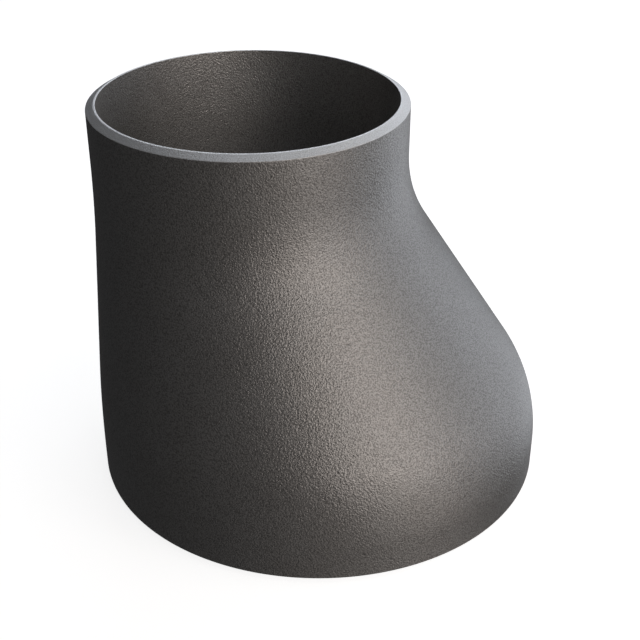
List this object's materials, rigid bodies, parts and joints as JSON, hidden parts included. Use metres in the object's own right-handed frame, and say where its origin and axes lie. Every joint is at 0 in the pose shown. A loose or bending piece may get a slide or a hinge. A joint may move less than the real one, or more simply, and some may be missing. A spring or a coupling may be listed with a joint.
{
  "type": "pipe reducer",
  "caption": "Eccentric butt-weld pipe reducer: seamless steel wall with a straight side opposite an S-shaped sloping side, and bevelled weld ends.",
  "frame": {"origin": "centre of the large end's face, which is also the bottom centre of the whole object's box", "axes": "+Z along the run from the large end to the small end; the sloping side faces +X and the straight side faces -X"},
  "size_m": [0.1684, 0.1682, 0.14],
  "materials": {
    "blasted_steel": "shot-blasted carbon steel, matt dark grey, with machined weld bevels"
  },
  "bodies": {
    "root": {"reducer_body": "blasted_steel"}
  },
  "joints": []
}
